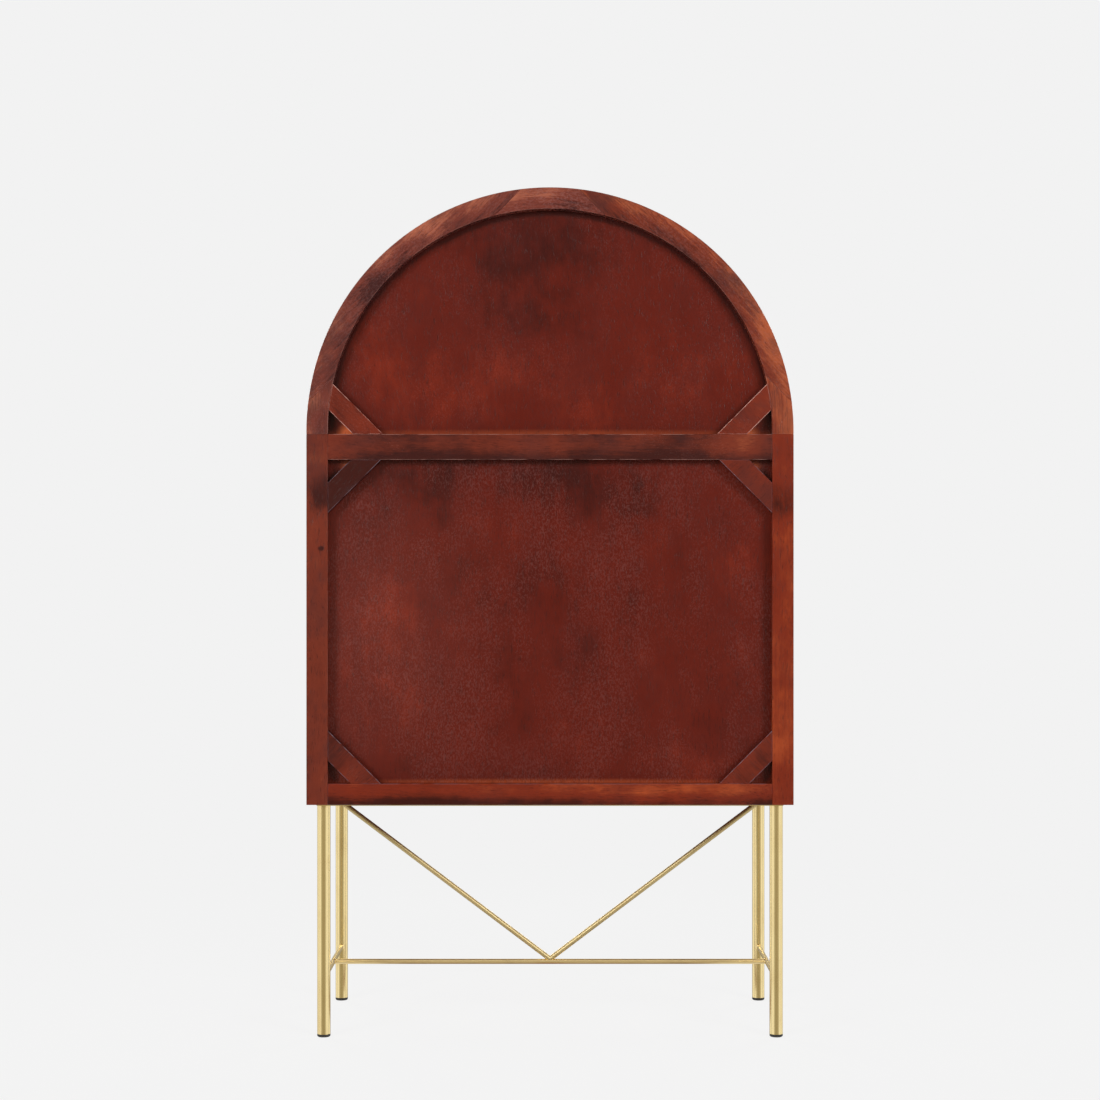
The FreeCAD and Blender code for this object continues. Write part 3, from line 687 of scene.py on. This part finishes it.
def make_slanting_rods():
    """The two rods that rise from the long stretcher to the ends of the case."""
    low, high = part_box("v_brace_rods")
    stretcher_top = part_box("long_stretcher")[1].z
    leg_low, leg_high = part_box("leg_rear_right")
    radius = (high.y - low.y) / 2
    depth = (low.y + high.y) / 2
    foot = Vector((0, depth, stretcher_top))
    replaced = ["v_brace_rods"]
    for name, side in (("left", -1), ("right", 1)):
        head = Vector((side * (leg_low.x + leg_high.x) / 2, depth, high.z))
        run = head - foot
        lean = math.atan2(run.z, run.x)
        # A darker copy of the stand's brass: painted shade.
        brushed = metal_material("brass_slanting_" + name, SHADED_SLANTING_GOLD, SHADED_ROD_DULL, 0.38, (0, lean, 0),
                                 brush=0.0, speckle=0.0)
        profile = [(0, 0), (radius, 0), (radius, run.length), (0, run.length)]
        bm = bmesh.new()
        lathe(bm, profile, foot, run, segments=48)
        make_piece("slanting_rod_" + name, bm, brushed, "root", replaced)
        replaced = ()


def make_brazing():
    """The small fillets of filler where the stretchers meet the legs and each other.

    Their profiles are in shares of the rod's radius.
    """
    bm = bmesh.new()
    low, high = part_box("side_stretchers")
    rod = (high.z - low.z) / 2
    height = (low.z + high.z) / 2
    for x in (low.x + rod, high.x - rod):
        for y, inward in ((low.y, 1), (high.y, -1)):
            profile = [(rod * 1.36, -rod * 0.12), (rod * 1.30, rod * 0.08), (rod * 1.13, rod * 0.32),
                       (rod * 0.99, rod * 0.62)]
            lathe(bm, profile, Vector((x, y, height)), Vector((0, inward, 0)), segments=32)
    low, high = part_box("long_stretcher")
    for x, inward in ((low.x, 1), (high.x, -1)):
        profile = [(rod * 1.12, -rod * 0.1), (rod * 1.10, rod * 0.5), (rod * 0.99, rod * 1.1)]
        base = Vector((x, (low.y + high.y) / 2, height))
        lathe(bm, profile, base, Vector((inward, 0, 0)), segments=32)
    make_piece("brazed_fillets", bm, brass_upright, "root")


def screw_head(bm, centre, axis, radius):
    """A slotted countersunk head: two lands a hair above the plate, and a painted-shade slot between them.

    The shares are of the radius, and the slot's rise is a share of how far the lands stand proud.
    """
    proud = 0.00009
    slot_share, top_share, slot_end_share, slot_rise = 0.15, 0.92, 0.98, 0.2
    place = along_axis(centre, axis)
    start = math.asin(slot_share)
    steps = 16
    lift = Vector((0, 0, proud))
    slot = []
    for half in (0, 1):
        rim, top = [], []
        for step in range(steps + 1):
            angle = half * math.pi + start + (math.pi - 2 * start) * step / steps
            point = Vector((math.cos(angle), math.sin(angle), 0)) * radius
            rim.append(bm.verts.new(place @ point))
            top.append(bm.verts.new(place @ (point * top_share + lift)))
            if step in (0, steps):
                slot.append(bm.verts.new(place @ (point * slot_end_share + lift * slot_rise)))
        for first in range(steps):
            bm.faces.new([rim[first], rim[first + 1], top[first + 1], top[first]])
        bm.faces.new(top)
        bm.faces.new([rim[0], top[0], top[-1], rim[-1]])
    # The slot's floor: a dark sheet of painted shade.
    bm.faces.new(slot).material_index = 1


def make_fitting_screws():
    """The screws of the hinge leaves and of the strike plates.

    The places of a leaf's screws are in shares of its height and width.
    """
    leaf_gap = 0.00015
    leaf_width = 0.017
    hinge_height = 0.064
    leaf_screw = 0.0029
    plate_screw = 0.0024
    places = ((0.16, 0.62), (0.5, 0.36), (0.84, 0.62))
    case_mesh = bmesh.new()
    for side in ("left", "right"):
        door_mesh = bmesh.new()
        low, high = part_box("door_hinge_leaves_" + side)
        line = (low.x + high.x) / 2
        outward = 1 if side == "right" else -1
        for hinge_z in (low.z, high.z - hinge_height):
            for up, out in places:
                y = high.y - leaf_width * (1 - out)
                z = hinge_z + up * hinge_height
                case_face = Vector((line + outward * leaf_gap, y, z))
                door_face = Vector((line - outward * leaf_gap, y, z))
                screw_head(case_mesh, case_face, Vector((-outward, 0, 0)), leaf_screw)
                screw_head(door_mesh, door_face, Vector((outward, 0, 0)), leaf_screw)
        low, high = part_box("strike_plate_" + side)
        centre = Vector(((low.x + high.x) / 2, high.y, (low.z + high.z) / 2))
        screw_head(door_mesh, centre, Vector((0, 1, 0)), plate_screw)
        door_screws = make_piece("door_screws_" + side, door_mesh, brass_fitting, "door_" + side)
        door_screws.data.materials.append(slot_dark)
    case_screws = make_piece("case_hinge_screws", case_mesh, brass_fitting, "root")
    case_screws.data.materials.append(slot_dark)


def add_box(bm, low, high):
    """A bar between two corners, with its own corners in a mesh."""
    corners = [bm.verts.new((x, y, z)) for x in (low[0], high[0]) for y in (low[1], high[1])
               for z in (low[2], high[2])]
    for face in ((0, 1, 3, 2), (4, 6, 7, 5), (0, 4, 5, 1), (2, 3, 7, 6), (0, 2, 6, 4), (1, 5, 7, 3)):
        bm.faces.new([corners[index] for index in face])


def make_pole_plates():
    """Two steel pole plates that show in the face of each magnetic catch."""
    low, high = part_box("magnetic_catches")
    width = 0.034
    margin = 0.004
    proud = 0.0001
    thickness = 0.0014
    plate_heights = (0.28, 0.62)
    bm = bmesh.new()
    for start in (low.x, high.x - width):
        for up in plate_heights:
            z = low.z + up * (high.z - low.z)
            add_box(bm, (start + margin, low.y - proud, z),
                    (start + width - margin, low.y + margin, z + thickness))
    make_piece("catch_pole_plates", bm, steel, "root")


# Stage, lamps and camera, in metres, degrees and watts. The lens and the sensor are in millimetres.

BACKGROUND = srgb(242, 242, 242)
PAPER_SHADE = srgb(238, 238, 238)
NEAR_GLOW = srgb(246, 246, 246)
MIRRORED_ROOM = (0.36, 0.32, 0.23, 1)
MIRRORED_SIDE = (0.64, 0.64, 0.64, 1)
MIRRORED_BRIGHT = (1.0, 1.0, 1.0, 1)
MIRRORED_CEILING = (0.72, 0.72, 0.72, 1)
MIRRORED_FLOOR = (0.30, 0.20, 0.11, 1)
CAMERA_DISTANCE = 4.05
CAMERA_HEIGHT = 0.878
CAMERA_LENS = 70.6
CAMERA_SHIFT = 0.0198
CAMERA_SENSOR = 36.0
LAMP_DISTANCE = 5.5
LAMP_ANGLE = 37
LAMP_SIZE = (1.8, 1.5)
LAMP_HEIGHT = 2.5
LAMP_TARGET = Vector((0, 0, 1.0))
LAMP_POWER = 150.0
REAR_LAMP_POWER = 100.0
FILL_STRENGTH = 0.22


def seen_directly(tree):
    """1 for what the camera, a mirror or glass shows, and 0 for light that falls on surfaces."""
    path = add_node(tree, "ShaderNodeLightPath").outputs
    seen = maths(tree, "MAXIMUM", path["Is Camera Ray"], path["Is Glossy Ray"])
    return maths(tree, "MAXIMUM", seen, path["Is Transmission Ray"])


def make_world():
    """The studio: plain to the camera, a soft fill on surfaces, and graded in what metal mirrors.

    Metal shows it dim in front and behind, bright to the sides of that, and grey above.
    """
    side_ramp, room_ramp, ceiling_ramp = (0.0, 0.3), (0.5, 0.95), (0.12, 0.5)
    backdrop_ramp, backdrop_rise = (-0.1, -0.5), (0.08, 0.3)
    world = bpy.data.worlds.new("studio")
    world.use_nodes = True
    bpy.context.scene.world = world
    tree = world.node_tree
    tree.nodes.clear()
    direction = split_axes(tree, add_node(tree, "ShaderNodeTexCoord").outputs["Generated"])
    ahead = maths(tree, "ABSOLUTE", direction["Y"])
    mirrored = mix_colour(tree, between(tree, ahead, *side_ramp), MIRRORED_SIDE, MIRRORED_BRIGHT)
    mirrored = mix_colour(tree, between(tree, ahead, *room_ramp), mirrored, MIRRORED_ROOM)
    backdrop = maths(tree, "MULTIPLY", between(tree, direction["Y"], *backdrop_ramp),
                     between(tree, direction["Z"], *backdrop_rise))
    above = maths(tree, "MAXIMUM", backdrop, between(tree, direction["Z"], *ceiling_ramp))
    mirrored = mix_colour(tree, above, mirrored, MIRRORED_CEILING)
    glossy = add_node(tree, "ShaderNodeLightPath").outputs["Is Glossy Ray"]
    seen = mix_colour(tree, glossy, BACKGROUND, mirrored)
    shown = add_node(tree, "ShaderNodeBackground", {"Color": seen, "Strength": 1.0})
    fill = add_node(tree, "ShaderNodeBackground", {"Color": BACKGROUND, "Strength": FILL_STRENGTH})
    whole = mix_shaders(tree, seen_directly(tree), fill.outputs[0], shown.outputs[0])
    finish_tree(tree, whole, "ShaderNodeOutputWorld")


def emission(tree, colour):
    """A surface that shows one colour, whatever light falls on it."""
    return add_node(tree, "ShaderNodeEmission", {"Color": colour, "Strength": 1.0}).outputs[0]


def make_floor():
    """A pale floor that fades into the background and keeps a faint shadow.

    Metal mirrors a dim strip of it below the long stretcher, and the studio through the rest.
    Each edge of the strip fades between two distances from the middle.
    """
    reach = 30.0
    shadow_share = 0.08
    strip_length, strip_width = (0.28, 0.37), (0.04, 0.13)
    fade = (0.7, 2.2)
    mesh = bpy.data.meshes.new("floor")
    corners = [(-reach, -reach, 0), (reach, -reach, 0), (reach, reach, 0), (-reach, reach, 0)]
    mesh.from_pydata(corners, [], [(0, 1, 2, 3)])
    floor = bpy.data.objects.new("floor", mesh)
    bpy.context.scene.collection.objects.link(floor)

    material, tree = new_material("pale_floor")
    place = place_on_piece(tree)
    fibres = noise(tree, place, (60.0, 60.0, 60.0), 3.0)
    paper = mix_colour(tree, fibres, PAPER_SHADE, BACKGROUND)
    matte = add_node(tree, "ShaderNodeBsdfDiffuse", {"Color": paper}).outputs[0]
    near = mix_shaders(tree, shadow_share, emission(tree, NEAR_GLOW), matte)
    far_off = between(tree, length(tree, place), *fade)
    faded = mix_shaders(tree, far_off, near, emission(tree, BACKGROUND))
    axes = split_axes(tree, place)
    beyond = maths(tree, "MAXIMUM", between(tree, maths(tree, "ABSOLUTE", axes["X"]), *strip_length),
                   between(tree, maths(tree, "ABSOLUTE", axes["Y"]), *strip_width))
    clear = add_node(tree, "ShaderNodeBsdfTransparent").outputs[0]
    mirrored = mix_shaders(tree, beyond, emission(tree, MIRRORED_FLOOR), clear)
    glossy = add_node(tree, "ShaderNodeLightPath").outputs["Is Glossy Ray"]
    shown = mix_shaders(tree, glossy, faded, mirrored)
    finish_tree(tree, mix_shaders(tree, seen_directly(tree), matte, shown))
    mesh.materials.append(material)


def make_lamp(name, side, facing, power):
    """A soft lamp on the photo's side of the part or on the doors' side, aimed at the case."""
    data = bpy.data.lights.new(name, "AREA")
    data.shape = "RECTANGLE"
    data.size, data.size_y = LAMP_SIZE
    data.energy = power
    lamp = bpy.data.objects.new(name, data)
    bpy.context.scene.collection.objects.link(lamp)
    turn = math.radians(LAMP_ANGLE) * side
    lamp.location = (LAMP_DISTANCE * math.sin(turn), facing * LAMP_DISTANCE * math.cos(turn), LAMP_HEIGHT)
    lamp.rotation_euler = (LAMP_TARGET - lamp.location).to_track_quat("-Z", "Y").to_euler()


def make_camera():
    """The photo's view, straight from behind."""
    data = bpy.data.cameras.new("camera")
    data.lens = CAMERA_LENS
    data.sensor_width = CAMERA_SENSOR
    data.shift_y = CAMERA_SHIFT
    camera = bpy.data.objects.new("camera", data)
    bpy.context.scene.collection.objects.link(camera)
    camera.location = (0, REAR_FACE + CAMERA_DISTANCE, CAMERA_HEIGHT)
    camera.rotation_euler = (math.pi / 2, 0, math.pi)
    bpy.context.scene.camera = camera


dress_wood()
dress_metal()
make_knobs()
make_legs()
make_slanting_rods()
make_brazing()
make_fitting_screws()
make_pole_plates()
make_world()
make_floor()
for facing, power in ((1, LAMP_POWER), (-1, REAR_LAMP_POWER)):
    for side in (-1, 1):
        make_lamp("lamp_%d_%d" % (facing, side), side, facing, power)
make_camera()
bpy.context.scene.view_settings.view_transform = "Standard"
